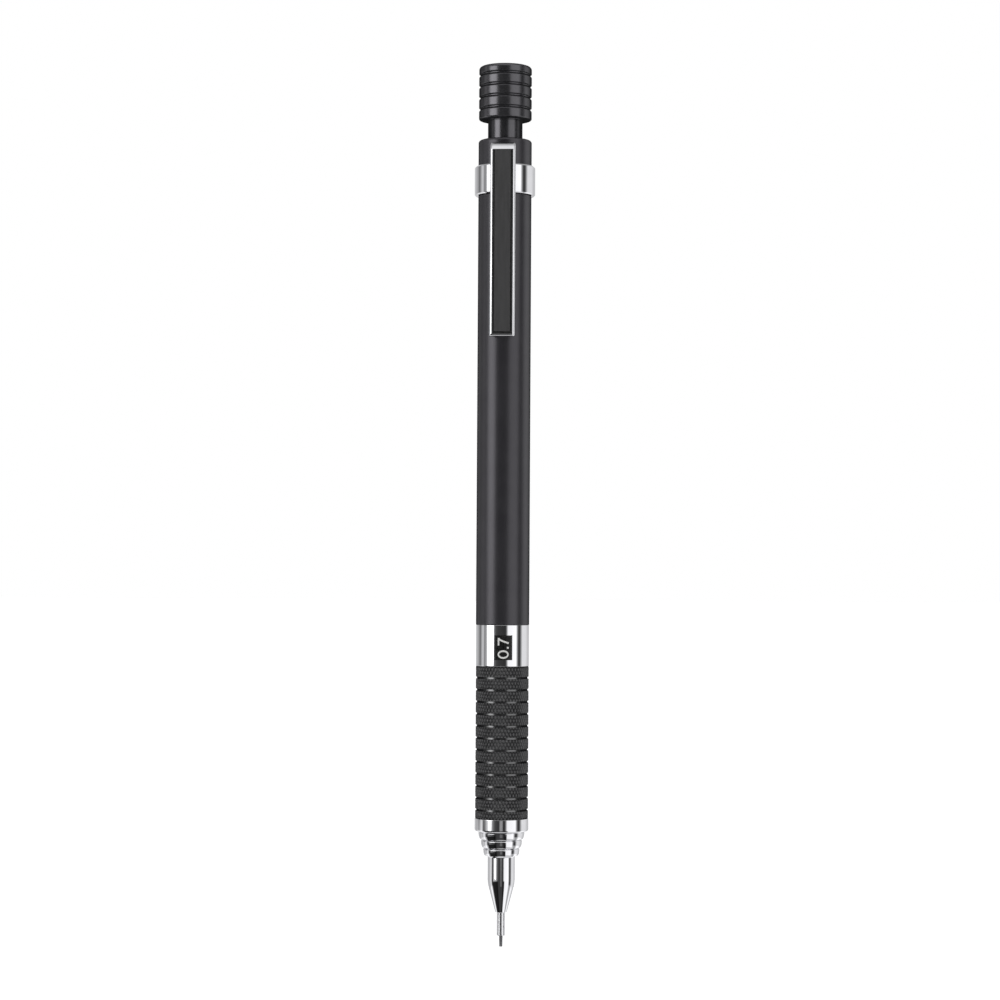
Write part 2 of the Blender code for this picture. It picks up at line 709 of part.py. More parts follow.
def eraser_parts():
    """Thin cup over the feed tube's end, and the eraser that stands in it."""
    shelf = ERASER_BOTTOM - 0.1
    profile = [(ERASER_HOLDER_RADIUS, ERASER_HOLDER_TOP)]
    profile.append((ERASER_HOLDER_RADIUS, ERASER_HOLDER_BOTTOM))
    profile.append((FEED_TUBE_RADIUS + CLEARANCE, ERASER_HOLDER_BOTTOM))
    profile.append((FEED_TUBE_RADIUS + CLEARANCE, FEED_TUBE_TOP + CLEARANCE))
    profile.append((1.1, FEED_TUBE_TOP + CLEARANCE))
    profile.append((1.1, shelf))
    profile.append((ERASER_RADIUS + CLEARANCE, shelf))
    profile.append((ERASER_RADIUS + CLEARANCE, ERASER_HOLDER_TOP))
    turned("eraser_holder", profile, STEEL, 32)
    profile = [(0, ERASER_TOP)]
    profile += rounded_corner(ERASER_RADIUS, ERASER_TOP, 0.4, "top")
    profile.append((ERASER_RADIUS, ERASER_BOTTOM))
    profile.append((0, ERASER_BOTTOM))
    turned("eraser", profile, ERASER_WHITE, FINE_SEGMENTS)


def push_knob():
    """Push knob: ribbed head, narrow neck and a blind bore over the eraser."""
    profile = [(0, KNOB_TOP)]
    profile += rounded_corner(KNOB_RADIUS, KNOB_TOP, KNOB_EDGE, "top")
    for level in reversed(KNOB_GROOVES):
        profile += groove(KNOB_RADIUS, KNOB_GROOVE_RADIUS, level, KNOB_GROOVE_WIDTH)
    profile += rounded_corner(KNOB_RADIUS, KNOB_BOTTOM, 0.2, "bottom")
    profile.append((NECK_RADIUS, KNOB_BOTTOM))
    profile.append((NECK_RADIUS, KNOB_SKIRT_BOTTOM))
    profile.append((KNOB_BORE, KNOB_SKIRT_BOTTOM))
    profile.append((KNOB_BORE, KNOB_BORE_TOP))
    profile.append((0, KNOB_BORE_TOP))
    return turned("push_knob", profile, GLOSS_BLACK)


nose_cone()
nose_inner_parts()
grip_sleeve()
spacer_ring()
size_badge()
barrel_parts()
top_cap()
clip_collar()
clip()
guide_sleeve()
clutch_ring()
for jaw_index in range(JAW_COUNT):
    chuck_jaw(jaw_index)
chuck_body()
return_spring()
feed_tube_parts()
writing_lead()
eraser_parts()
push_knob()
bpy.context.view_layer.update()
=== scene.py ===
"""Looks of a clutch-type mechanical pencil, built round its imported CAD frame.

Shapes are given in millimetres, and heights are measured up from the end of the writing
lead. The pencil stands on its axis, world Z, and the clip faces -Y, towards the camera.
"""

import math

import bmesh
import bpy
from mathutils import Matrix, Vector


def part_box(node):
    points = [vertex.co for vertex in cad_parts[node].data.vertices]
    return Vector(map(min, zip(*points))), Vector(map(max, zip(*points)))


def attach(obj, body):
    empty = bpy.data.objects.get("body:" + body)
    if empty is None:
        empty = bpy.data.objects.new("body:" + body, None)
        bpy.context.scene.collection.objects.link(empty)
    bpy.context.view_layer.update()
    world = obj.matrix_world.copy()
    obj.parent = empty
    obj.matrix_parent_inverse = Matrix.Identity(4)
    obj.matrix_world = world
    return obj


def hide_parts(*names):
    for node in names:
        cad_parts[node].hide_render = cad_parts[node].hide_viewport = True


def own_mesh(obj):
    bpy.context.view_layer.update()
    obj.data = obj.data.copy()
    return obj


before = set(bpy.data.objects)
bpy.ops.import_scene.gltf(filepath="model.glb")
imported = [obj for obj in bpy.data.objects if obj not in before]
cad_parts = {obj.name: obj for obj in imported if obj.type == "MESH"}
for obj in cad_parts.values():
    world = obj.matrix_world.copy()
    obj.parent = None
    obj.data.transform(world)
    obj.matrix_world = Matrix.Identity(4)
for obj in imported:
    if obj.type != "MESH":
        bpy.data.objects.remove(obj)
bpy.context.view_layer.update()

MM = 0.001
TIP_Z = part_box("writing_lead")[0][2]

# ---- Camera and studio -------------------------------------------------------------

CAMERA_DISTANCE = 430.0
CAMERA_HEIGHT = 60.0
CAMERA_AIM_HEIGHT = 72.69
CAMERA_OFFSET = -0.53  # along X
CAMERA_LENS = 94.69  # focal length, for a sensor 36 mm wide
CAMERA_ROLL = math.radians(0.32)
FLOOR_DROP = 120.0
FLOOR_SIZE = 40.0  # metres

# ---- Details that the frame doesn't give -------------------------------------------

TURNED_SEGMENTS = 144
SUPPORT = 0.04  # distance of the loops that keep flat stretches flat beside a rounding

# Lower edge and rim radius of each ring of the nose, from the lowest up.
NOSE_STEPS = ((14.7, 2.96), (16.0, 3.36), (17.4, 3.76), (18.75, 4.39))
NOSE_SHANK_RADIUS = 2.22
NOSE_SHANK_BOTTOM = 10.35
NOSE_LEAN = math.radians(4.5)  # slope of each small ring below its rim
NOSE_CURL = math.radians(34)  # its slope at its lower edge
NOSE_END_RADIUS = 0.93
# The hollow inside as (radius, height), from the sleeve's seat up to the wide socket.
NOSE_BORE = (
    (0.72, 9.7), (1.35, 9.7), (1.35, 12.2), (1.66, 12.4), (1.66, 15.7), (2.13, 15.7),
    (2.13, 19.15), (2.75, 19.15),
)

GROOVE_COUNT = 12
FIRST_GROOVE = 22.27
GROOVE_PITCH = 1.949
GROOVE_DEPTH = 0.20
GROOVE_WIDTH = 0.33
KNURL_COUNT = 48
KNURL_RISE = 1.1  # height over which a knurl line turns by one pitch round the grip
KNURL_DEPTH = 0.15
KNURL_HALF_CUT = 0.27  # half width of a knurl line, as a share of the pitch

TUBE_BORE = 3.35  # inner radius of the grip, the chrome ring and the barrel's lower end
CAP_SOCKET = 3.67  # inner radius of the collar and the barrel's upper end
CAP_SPIGOT = 3.62  # outer radius of the cap's skirt inside the collar and the barrel
CAP_BORE = 2.92
BARREL_SOCKET_BOTTOM = 109.5

KNOB_GROOVES = (142.40, 140.55, 138.70, 136.80)
KNOB_GROOVE_DEPTH = 0.26
KNOB_HEAD_BOTTOM = 135.05
KNOB_NECK_RADIUS = 2.83
KNOB_BORE = (2.38, 142.0)  # radius and top of the hollow over the eraser

LUG_RISE = 1.70  # height of the clip's lug above the collar
LUG_HALF_WIDTH = 1.6
LUG_DISTANCES = (4.60, 5.30)  # of its back and front from the axis

CLIP_HALF_WIDTH = 2.05
CLIP_FOLD = 0.38  # reach of the rounded rim
# The rounded rim's section, inwards and backwards, as shares of CLIP_FOLD.
CLIP_RIM = ((1, 0), (0.66, 0.09), (0.32, 0.30), (0.10, 0.58), (0, 0.90))
CLIP_SHEET = 0.36
# Distances from the axis of the clip's face, the channel's back and the toe.
CLIP_FACE = 6.25
CLIP_BACK = 5.15
CLIP_TOE = 4.42
CLIP_INLAY_HALF = 1.31
CLIP_POCKET_HALF = 1.50
CLIP_POCKET_DEPTH = 0.26
CLIP_GAP_BELOW = 0.28  # open length of the pocket under the face strip
CLIP_ROOT_DEPTH = 1.4  # of the solid part at the root, from the face back
# The root's rounding over the top, as (rise, reach back).
CLIP_ROOT = (
    (0, 0), (0.05, 0.02), (0.30, 0.14), (0.58, 0.28), (0.72, 0.39), (0.90, 0.54),
    (1.08, 0.70), (1.17, 0.85), (1.22, 1.05),
)

BADGE_SHIFT = 0.15  # turn of the badge to the right, along the ring's surface
BADGE_THICKNESS = 0.33
BADGE_SINK = 0.01  # depth of its face below the ring's
BADGE_GAP = 0.035  # between the badge and its window in the ring
WINDOW_STEPS = 16  # faces across the window
DIGIT_HEIGHT = 1.79
DIGIT_WIDTH = 1.37
DIGIT_STROKE = 0.28
DIGIT_FOOT = 0.87  # how far the digits' feet stand right of the badge's middle
DIGIT_MARGIN = 0.17  # from the badge's lower edge to where the line of digits starts
DIGIT_RISE = 0.02
# Along the line of digits: the first digit's middle, the dot, and the last digit.
FIRST_MIDDLE = 0.71
DOT_START = 1.66
DOT_SIZE = 0.30
LAST_START = 2.16
LAST_WIDTH = 1.22

# Azimuth in degrees and radiance of the walls round the pencil.
WALLS = (
    (-180, 0.62), (-157, 0.66), (-127, 0.42), (-112, 0.15), (-94, 0.70), (-82, 0.20),
    (-74, 0.60), (-42, 0.50), (-36, 0.20), (-28, 0.075), (-18, 0.05), (0, 0.04),
    (13, 0.035), (17, 0.13), (22, 0.60), (62, 0.75), (68, 0.35), (74, 0.04), (83, 0.06),
    (89, 0.36), (97, 0.88), (121, 0.86), (144, 0.60), (180, 0.60),
)


def world_z(height):
    """World Z in metres of a height in millimetres above the lead's end."""
    return TIP_Z + height * MM


def bottom(node):
    """Height of the lower end of a CAD node."""
    return (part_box(node)[0][2] - TIP_Z) / MM


def top(node):
    """Height of the upper end of a CAD node."""
    return (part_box(node)[1][2] - TIP_Z) / MM


def radius(node):
    """Outer radius in millimetres of a CAD node turned about the axis."""
    low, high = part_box(node)
    return (high[0] - low[0]) / 2 / MM


# ---- Materials ---------------------------------------------------------------------


class Nodes:
    """A short way to add linked nodes to a node tree."""

    def __init__(self, tree):
        self.tree = tree

    def add(self, kind, inputs=None, **settings):
        node = self.tree.nodes.new(kind)
        for key, value in settings.items():
            setattr(node, key, value)
        for key, value in (inputs or {}).items():
            self.put(node.inputs[key], value)
        return node

    def put(self, socket, value):
        if isinstance(value, bpy.types.NodeSocket):
            self.tree.links.new(value, socket)
        else:
            socket.default_value = value

    def maths(self, operation, *values):
        node = self.add("ShaderNodeMath", operation=operation)
        for socket, value in zip(node.inputs, values):
            self.put(socket, value)
        return node.outputs[0]

    def product(self, value, *factors):
        for factor in factors:
            value = self.maths("MULTIPLY", value, factor)
        return value

    def fade(self, level, share, other):
        """Goes from level to other as share goes from 0 to 1."""
        kept = self.product(level, self.maths("SUBTRACT", 1.0, share))
        return self.maths("ADD", kept, self.product(share, other))

    def step(self, value, low, high, start=0.0, end=1.0):
        """Goes smoothly from start to end as the value goes from low to high."""
        node = self.add("ShaderNodeMapRange", interpolation_type="SMOOTHSTEP")
        for key, item in (
            ("Value", value), ("From Min", low), ("From Max", high),
            ("To Min", start), ("To Max", end),
        ):
            self.put(node.inputs[key], item)
        return node.outputs[0]

    def window(self, value, low, high, soft):
        """1 between low and high, with soft shoulders."""
        rise = self.step(value, low - soft, low + soft)
        fall = self.step(value, high - soft, high + soft, 1.0, 0.0)
        return self.product(rise, fall)

    def noise(self, size, detail=3.0, stretch=(1.0, 1.0, 1.0)):
        """Noise with features of about the given size in millimetres."""
        place = self.add("ShaderNodeTexCoord")
        mapping = self.add("ShaderNodeMapping", {"Vector": place.outputs["Object"]})
        mapping.inputs["Scale"].default_value = stretch
        noise = self.add(
            "ShaderNodeTexNoise",
            {"Vector": mapping.outputs[0], "Scale": 1 / (size * MM), "Detail": detail},
        )
        return noise.outputs["Fac"]

    def blend(self, factor, first, second):
        node = self.add("ShaderNodeMix", data_type="RGBA")
        self.put(node.inputs["Factor"], factor)
        self.put(node.inputs["A"], (*first, 1.0))
        self.put(node.inputs["B"], (*second, 1.0))
        return node.outputs["Result"]


def finish(
    name, dark, light, roughness, metallic=0.0, mottle=1.5, grain=0.08, bump=0.0,
    stretch=(1.0, 1.0, 1.0), quiet_rim=None, quiet_below=None, knurled=False,
    **sockets,
):
    """A material whose tone, roughness and surface vary a little over the part.

    mottle and grain are sizes in millimetres, bump is a depth in millimetres, and
    quiet_rim is the facing range over which the gloss fades towards grazing view;
    quiet_below is (height, range) where another range holds below a height.
    """
    mat = bpy.data.materials.new(name)
    mat.use_nodes = True
    nodes = Nodes(mat.node_tree)
    shader = mat.node_tree.nodes["Principled BSDF"]
    output = mat.node_tree.nodes["Material Output"]
    patches = nodes.noise(mottle, 4.0, stretch)
    mix = nodes.step(patches, 0.3, 0.7)
    # On the knurled grip the cuts take the dark tone, painted shade in the cuts; the tops
    # keep their random tone.
    if knurled:
        mix = nodes.product(nodes.step(patches, 0.3, 0.7, 0.55, 1.0), knurl_shade_mask(nodes))
    tone = nodes.blend(mix, dark, light)
    nodes.put(shader.inputs["Base Color"], tone)
    fine = nodes.noise(grain, 2.0, stretch)
    rough = nodes.step(fine, 0.25, 0.75, roughness[0], roughness[1])
    nodes.put(shader.inputs["Roughness"], rough)
    shader.inputs["Metallic"].default_value = metallic
    if bump:
        relief = nodes.add("ShaderNodeBump", {"Height": fine, "Distance": bump * MM})
        relief.inputs["Strength"].default_value = 1.0
        nodes.put(shader.inputs["Normal"], relief.outputs[0])
    for key, value in sockets.items():
        shader.inputs[key.replace("_", " ")].default_value = value
    if quiet_rim:
        facing = nodes.add("ShaderNodeLayerWeight")
        facing.inputs["Blend"].default_value = 0.5
        edges = quiet_rim
        if quiet_below:
            height, lower = quiet_below
            place = nodes.add("ShaderNodeTexCoord")
            split = nodes.add("ShaderNodeSeparateXYZ", {"Vector": place.outputs["Object"]})
            rise = (world_z(height - 0.1), world_z(height + 0.1))
            edges = [
                nodes.step(split.outputs[2], *rise, below, above)
                for below, above in zip(lower, quiet_rim)
            ]
        fade = nodes.step(facing.outputs["Facing"], *edges)
        plain = nodes.add("ShaderNodeBsdfDiffuse", {"Color": tone})
        mix = nodes.add("ShaderNodeMixShader")
        nodes.put(mix.inputs[0], fade)
        nodes.put(mix.inputs[1], shader.outputs[0])
        nodes.put(mix.inputs[2], plain.outputs[0])
        nodes.put(output.inputs["Surface"], mix.outputs[0])
    return mat


def knurl_shade_mask(nodes):
    """1 on the tops of the grip's knurl and 0 in its cuts, matching knurl(): the mask that
    paints shade into the cuts.
    """
    place = nodes.add("ShaderNodeTexCoord")
    split = nodes.add("ShaderNodeSeparateXYZ", {"Vector": place.outputs["Object"]})
    x, y, z = split.outputs
    across = nodes.product(nodes.maths("ARCTAN2", y, x), KNURL_COUNT / math.tau)
    along = nodes.maths("DIVIDE", nodes.maths("SUBTRACT", z, TIP_Z), KNURL_RISE * MM)
    tops = []
    for operation in ("ADD", "SUBTRACT"):
        phase = nodes.maths("FRACT", nodes.maths(operation, across, along))
        away = nodes.maths("ABSOLUTE", nodes.maths("SUBTRACT", phase, 0.5))
        tops.append(nodes.step(away, 0.08, KNURL_HALF_CUT))
    return nodes.product(*tops)


CHROME = finish(
    "chrome", (0.80, 0.80, 0.815), (0.84, 0.84, 0.85), (0.035, 0.06), metallic=1.0,
    mottle=2.5, grain=0.9, bump=0.0006,
)
CLIP_CHROME = finish(
    "clip_chrome", (0.80, 0.80, 0.815), (0.84, 0.84, 0.85), (0.15, 0.20), metallic=1.0,
    mottle=2.5, grain=0.6, bump=0.0004,
)
STEEL = finish(
    "steel", (0.78, 0.78, 0.79), (0.85, 0.85, 0.86), (0.26, 0.34), metallic=1.0,
    mottle=0.8, grain=0.12, bump=0.0008, stretch=(1.0, 1.0, 3.0),
)
SPRING_STEEL = finish(
    "spring_steel", (0.48, 0.48, 0.49), (0.58, 0.58, 0.58), (0.24, 0.36), metallic=1.0,
    mottle=0.6, grain=0.1, bump=0.001,
)
BRASS = finish(
    "turned_brass", (0.70, 0.50, 0.22), (0.80, 0.61, 0.29), (0.20, 0.34), metallic=1.0,
    mottle=1.2, grain=0.09, bump=0.0015, stretch=(0.15, 0.15, 2.5),
)
BARREL_BLACK = finish(
    "barrel_matt_black", (0.0180, 0.0175, 0.0200), (0.0225, 0.0220, 0.0245), (0.28, 0.33),
    mottle=3.0, grain=0.07, bump=0.0012, quiet_rim=(0.36, 0.88),
    Specular_IOR_Level=0.70, Specular_Tint=(0.97, 0.94, 1.0, 1.0),
)
KNOB_BLACK = finish(
    "knob_gloss_black", (0.014, 0.014, 0.0150), (0.021, 0.021, 0.0225), (0.19, 0.25),
    mottle=2.0, grain=0.1, bump=0.0008, quiet_rim=(0.22, 0.76),
    quiet_below=(KNOB_HEAD_BOTTOM, (0.13, 0.52)),
    IOR=1.56, Specular_IOR_Level=1.0, Specular_Tint=(0.97, 0.95, 1.0, 1.0),
)
CLIP_BLACK = finish(
    "clip_face_black", (0.046, 0.0455, 0.046), (0.054, 0.0535, 0.054), (0.34, 0.42),
    mottle=1.2, grain=0.08, bump=0.0012, stretch=(3.0, 1.0, 0.3), Specular_IOR_Level=0.4,
)
# Its dark tone is painted shade in the knurl's cuts; the light tone and the mottle on the
# tops are the grip's own.
GRIP_BLACK = finish(
    "grip_black", (0.009, 0.009, 0.0093), (0.068, 0.068, 0.0697), (0.30, 0.46),
    mottle=0.40, grain=0.34, bump=0.020, knurled=True, quiet_rim=(0.26, 0.6),
    Specular_IOR_Level=0.75,
)
GROOVE_BLACK = finish(
    "groove_gloss_black", (0.010, 0.010, 0.0105), (0.015, 0.015, 0.0155), (0.12, 0.20),
    mottle=0.6, grain=0.12, bump=0.0015, quiet_rim=(0.15, 0.36), IOR=1.8,
    Specular_IOR_Level=0.8,
)
RUBBER = finish(
    "retainer_rubber", (0.022, 0.022, 0.022), (0.034, 0.034, 0.034), (0.70, 0.85),
    mottle=0.8, grain=0.1, bump=0.003,
)
ERASER_WHITE = finish(
    "eraser_white", (0.80, 0.80, 0.775), (0.87, 0.87, 0.85), (0.68, 0.82),
    mottle=1.0, grain=0.14, bump=0.006, Subsurface_Weight=0.1, Subsurface_Scale=0.0008,
)
BADGE_BLACK = finish(
    "badge_black", (0.018, 0.018, 0.018), (0.028, 0.028, 0.027), (0.26, 0.36),
    mottle=0.5, grain=0.08, bump=0.0015, Specular_IOR_Level=0.4,
)
INK_WHITE = finish(
    "digit_white", (0.60, 0.60, 0.58), (0.66, 0.66, 0.64), (0.40, 0.55),
    mottle=0.25, grain=0.06, bump=0.002,
)
GRAPHITE = finish(
    "graphite", (0.075, 0.075, 0.08), (0.115, 0.115, 0.12), (0.30, 0.46),
    mottle=0.4, grain=0.06, bump=0.003, stretch=(1.0, 1.0, 0.3), Specular_IOR_Level=0.7,
)
TUBE_PLASTIC = finish(
    "feed_tube_plastic", (0.085, 0.085, 0.092), (0.110, 0.110, 0.118), (0.34, 0.46),
    mottle=2.5, grain=0.12, bump=0.002,
)


# ---- Mesh helpers ------------------------------------------------------------------


def add_piece(name, bm, mat, body, replaced=(), angle=38.0):
    """Makes an object of a bmesh, on a body, in place of the CAD nodes named."""
    bmesh.ops.recalc_face_normals(bm, faces=bm.faces)
    mesh = bpy.data.meshes.new(name)
    bm.to_mesh(mesh)
    bm.free()
    mesh.materials.append(mat)
    mesh.shade_smooth()
    mesh.set_sharp_from_angle(angle=math.radians(angle))
    obj = bpy.data.objects.new(name, mesh)
    bpy.context.scene.collection.objects.link(obj)
    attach(obj, body)
    if replaced:
        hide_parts(*replaced)
    return obj


def rounded(points, steps=7):
    """Fillets the corners of an outline given as (x, y) or (x, y, fillet radius)."""
    result = []
    count = len(points)
    for i, point in enumerate(points):
        here = Vector(point[:2])
        fillet = point[2] if len(point) > 2 else 0
        if not fillet:
            result.append(tuple(here))
            continue
        before = (Vector(points[i - 1][:2]) - here).normalized()
        after = (Vector(points[(i + 1) % count][:2]) - here).normalized()
        half = before.angle(after) / 2
        middle = here + (before + after).normalized() * (fillet / math.sin(half))
        start = here + before * (fillet / math.tan(half)) - middle
        end = here + after * (fillet / math.tan(half)) - middle
        sweep = start.angle_signed(end)
        for k in range(steps + 1):
            spoke = start.copy()
            spoke.rotate(Matrix.Rotation(-sweep * k / steps, 2))
            result.append(tuple(middle + spoke))
    return result


def supported(points, closed):
    """Adds a point close to each end of every long flat stretch."""
    result = []
    ends = list(zip(points, points[1:]))
    if closed:
        ends.append((points[-1], points[0]))
    for start, end in ends:
        result.append(start)
        run = Vector(end) - Vector(start)
        if run.length > 6 * SUPPORT:
            inset = run.normalized() * SUPPORT
            result.append(tuple(Vector(start) + inset))
            result.append(tuple(Vector(end) - inset))
    if not closed:
        result.append(points[-1])
    return result


def ring_point(bm, distance, height, angle):
    """A vertex at a distance in millimetres from the axis, at a height and angle."""
    x = distance * MM * math.cos(angle)
    y = distance * MM * math.sin(angle)
    return bm.verts.new((x, y, world_z(height)))


def even_ring(bm, distance, height, segments):
    """A ring of evenly spaced vertices round the axis."""
    return [
        ring_point(bm, distance, height, math.tau * i / segments) for i in range(segments)
    ]


def turned_mesh(profile, segments=TURNED_SEGMENTS):
    """A solid turned about the axis from a profile of (radius, height[, fillet])."""
    solid = profile[0][0] == 0 and profile[-1][0] == 0
    points = supported(rounded(profile), closed=not solid)
    bm = bmesh.new()
    rings = []
    for distance, height in points:
        if distance < 1e-6:
            rings.append([bm.verts.new((0, 0, world_z(height)))])
            continue
        rings.append(even_ring(bm, distance, height, segments))
    pairs = list(zip(rings, rings[1:]))
    if not solid:
        pairs.append((rings[-1], rings[0]))
    for first, second in pairs:
        join_rings(bm, first, second)
    return bm


def join_rings(bm, first, second):
    """Faces between two closed rings of vertices, or between a ring and a point."""
    count = max(len(first), len(second))
    if count == 1:
        return
    for i in range(count):
        j = (i + 1) % count
        if len(first) == 1:
            bm.faces.new((first[0], second[i], second[j]))
        elif len(second) == 1:
            bm.faces.new((first[i], second[0], first[j]))
        else:
            bm.faces.new((first[i], second[i], second[j], first[j]))


# ---- Nose and lead -----------------------------------------------------------------


def nose():
    """Chromed nose: one straight ring, three convex rings, a shank and a taper."""
    nose_top = top("nose_cone")
    nose_end = bottom("nose_cone")
    spigot = 3.30
    shoulder = bottom("grip_sleeve") - 0.01
    widest_low, widest = NOSE_STEPS[3]
    profile = [(spigot, nose_top, 0.1), (spigot, shoulder)]
    profile += [(widest, shoulder, 0.05), (widest, widest_low, 0.34)]
    for (level, distance), (above, _) in zip(NOSE_STEPS[2::-1], NOSE_STEPS[:0:-1]):
        # A hollow under the ring above, the rim, and a side that curls in downwards.
        profile.append((distance - 0.22, above))
        profile.append((distance - 0.09, above - 0.05, 0.05))
        belly = above - 0.62
        start = distance - 0.4 * math.tan(NOSE_LEAN)
        profile.append((distance, above - 0.22, 0.12))
        curve = (belly - level - 0.10) / (math.sin(NOSE_CURL) - math.sin(NOSE_LEAN))
        for k in range(7):
            angle = NOSE_LEAN + (NOSE_CURL - NOSE_LEAN) * k / 6
            reach = start - curve * (math.cos(NOSE_LEAN) - math.cos(angle))
            drop = curve * (math.sin(angle) - math.sin(NOSE_LEAN))
            profile.append((reach, belly - drop))
    profile.append((NOSE_SHANK_RADIUS, NOSE_STEPS[0][0] - 0.02, 0.22))
    profile.append((NOSE_SHANK_RADIUS, NOSE_SHANK_BOTTOM, 6.0))
    profile.append((NOSE_END_RADIUS, nose_end, 0.14))
    profile += [(NOSE_BORE[0][0], nose_end, 0.03), *NOSE_BORE, (NOSE_BORE[-1][0], nose_top)]
    bm = turned_mesh(profile)
    add_piece("nose_cone_fine", bm, CHROME, "barrel", ["nose_cone"])


def lead_parts():
    """The steel sleeve at the tip and the writing lead in it, worn at its end."""
    outer = radius("lead_sleeve")
    inner = 0.40
    low = bottom("lead_sleeve")
    high = top("lead_sleeve")
    profile = [(outer, high, 0.03), (outer, low, 0.10), (inner, low, 0.04), (inner, high)]
    bm = turned_mesh(profile, 72)
    add_piece("lead_sleeve_fine", bm, STEEL, "barrel", ["lead_sleeve"])
    lead = radius("writing_lead")
    end = top("writing_lead")
    profile = [(0, end), (lead, end, 0.03), (lead, 2.3, 0.4), (lead * 0.83, 1.9, 0.5)]
    profile += [(lead * 0.72, 0.0, 0.08), (0, 0)]
    bm = turned_mesh(profile, 40)
    add_piece("writing_lead_fine", bm, GRAPHITE, "lead", ["writing_lead"])


# ---- Grip --------------------------------------------------------------------------


def knurl(turn, height):
    """Depth in millimetres of a crossed knurl of V-shaped cuts, 0 at the diamonds' tops."""
    across = turn * KNURL_COUNT
    along = height / KNURL_RISE
    cuts = []
    for side in (-1, 1):
        phase = (across + side * along) % 1.0
        cuts.append(max(0.0, 1.0 - abs(phase - 0.5) / KNURL_HALF_CUT))
    return KNURL_DEPTH * max(cuts)


def grip_rows():
    """(height, radius, share of the knurl's depth) up the outside of the grip."""
    low = bottom("grip_sleeve")
    high = top("grip_sleeve")
    full = radius("grip_sleeve")
    edge = 0.16
    rows = [(low, full - edge, 0.0), (low + edge * 0.3, full - edge * 0.3, 0.0)]
    rows.append((low + edge, full, 0.0))
    start = low + edge + 0.05
    for i in range(GROOVE_COUNT + 1):
        middle = FIRST_GROOVE + i * GROOVE_PITCH
        last = i == GROOVE_COUNT
        end = high - 0.16 if last else middle - GROOVE_WIDTH / 2 - 0.03
        count = max(3, round((end - start) / 0.11))
        for k in range(count + 1):
            rows.append((start + (end - start) * k / count, full, 1.0))
        if last:
            break
        half = GROOVE_WIDTH / 2
        floor = full - GROOVE_DEPTH
        rows.append((middle - half, full - 0.03, 0.3))
        rows.append((middle - half * 0.82, floor, 0.0))
        rows.append((middle + half * 0.82, floor, 0.0))
        rows.append((middle + half, full - 0.03, 0.3))
        start = middle + half + 0.03
    rows.append((high - 0.12, full, 0.0))
    rows.append((high, full - 0.12, 0.0))
    return rows


def grip():
    """Black metal grip: thirteen knurled bands between twelve shallow grooves."""
    segments = KNURL_COUNT * 6
    low = bottom("grip_sleeve")
    high = top("grip_sleeve")
    bm = bmesh.new()
    rings = []
    for height, distance, share in grip_rows():
        ring = []
        for i in range(segments):
            turn = i / segments
            reach = distance - share * knurl(turn, height)
            ring.append(ring_point(bm, reach, height, math.tau * turn))
        rings.append(ring)
    for level in (high, low):
        rings.append(even_ring(bm, TUBE_BORE, level, segments))
    for first, second in zip(rings, rings[1:] + rings[:1]):
        join_rings(bm, first, second)
    add_piece(
        "grip_sleeve_fine", bm, GRIP_BLACK, "barrel", ["grip_sleeve"], angle=30
    )
    floor = radius("grip_sleeve") - GROOVE_DEPTH + 0.015
    inner = TUBE_BORE + 0.05
    profile = [(floor, high - 0.3, 0.03), (floor, low + 0.3, 0.03)]
    profile += [(inner, low + 0.3), (inner, high - 0.3)]
    bm = turned_mesh(profile)
    add_piece("grip_groove_floors", bm, GROOVE_BLACK, "barrel")


# ---- Chrome ring and badge ---------------------------------------------------------


def badge_extent():
    """(half width, bottom, top) of the badge."""
    return radius("size_badge"), bottom("size_badge"), top("size_badge")


def spacer_ring():
    """Chrome ring with a pocket for the badge, as a grid wrapped round the axis."""
    outer = radius("spacer_ring")
    low = top("grip_sleeve") + 0.01
    high = bottom("barrel_tube") - 0.01
    half, badge_low, badge_high = badge_extent()
    window = math.asin((half + BADGE_GAP) / outer)
    centre = -math.pi / 2 + BADGE_SHIFT / outer
    angles = [
        centre - window + 2 * window * i / WINDOW_STEPS for i in range(WINDOW_STEPS + 1)
    ]
    rest = 128  # faces round the rest of the ring
    angles += [centre + window + (math.tau - 2 * window) * i / rest for i in range(1, rest)]
    edge = 0.07
    fillet = [(outer - edge + edge * math.sin(k * math.pi / 8), k) for k in range(5)]
    rows = []
    for distance, k in fillet:
        rows.append((distance, low + edge - edge * math.cos(k * math.pi / 8)))
    rows.append((outer, low + edge + SUPPORT))
    window_row = len(rows)
    window_heights = (badge_low - BADGE_GAP, badge_high + BADGE_GAP)
    for height in window_heights:
        rows.append((outer, height))
    rows.append((outer, high - edge - SUPPORT))
    for distance, k in reversed(fillet):
        rows.append((distance, high - edge + edge * math.cos(k * math.pi / 8)))
    bm = bmesh.new()
    floor = outer - 0.39
    rings = []
    for distance, height in rows + [(TUBE_BORE, high), (TUBE_BORE, low)]:
        rings.append([ring_point(bm, distance, height, angle) for angle in angles])
    for row, (first, second) in enumerate(zip(rings, rings[1:] + rings[:1])):
        for i in range(len(angles)):
            j = (i + 1) % len(angles)
            if row == window_row and i < WINDOW_STEPS:
                continue
            bm.faces.new((first[i], first[j], second[j], second[i]))
    under, over = rings[window_row], rings[window_row + 1]
    deep_under, deep_over = [
        [ring_point(bm, floor, height, angle) for angle in angles[:WINDOW_STEPS + 1]]
        for height in window_heights
    ]
    for first, second in ((deep_under, deep_over), (under, deep_under), (over, deep_over)):
        for i in range(WINDOW_STEPS):
            bm.faces.new((first[i], first[i + 1], second[i + 1], second[i]))
    for i in (0, WINDOW_STEPS):
        bm.faces.new((under[i], over[i], deep_over[i], deep_under[i]))
    add_piece("spacer_ring_fine", bm, CHROME, "barrel", ["spacer_ring"])


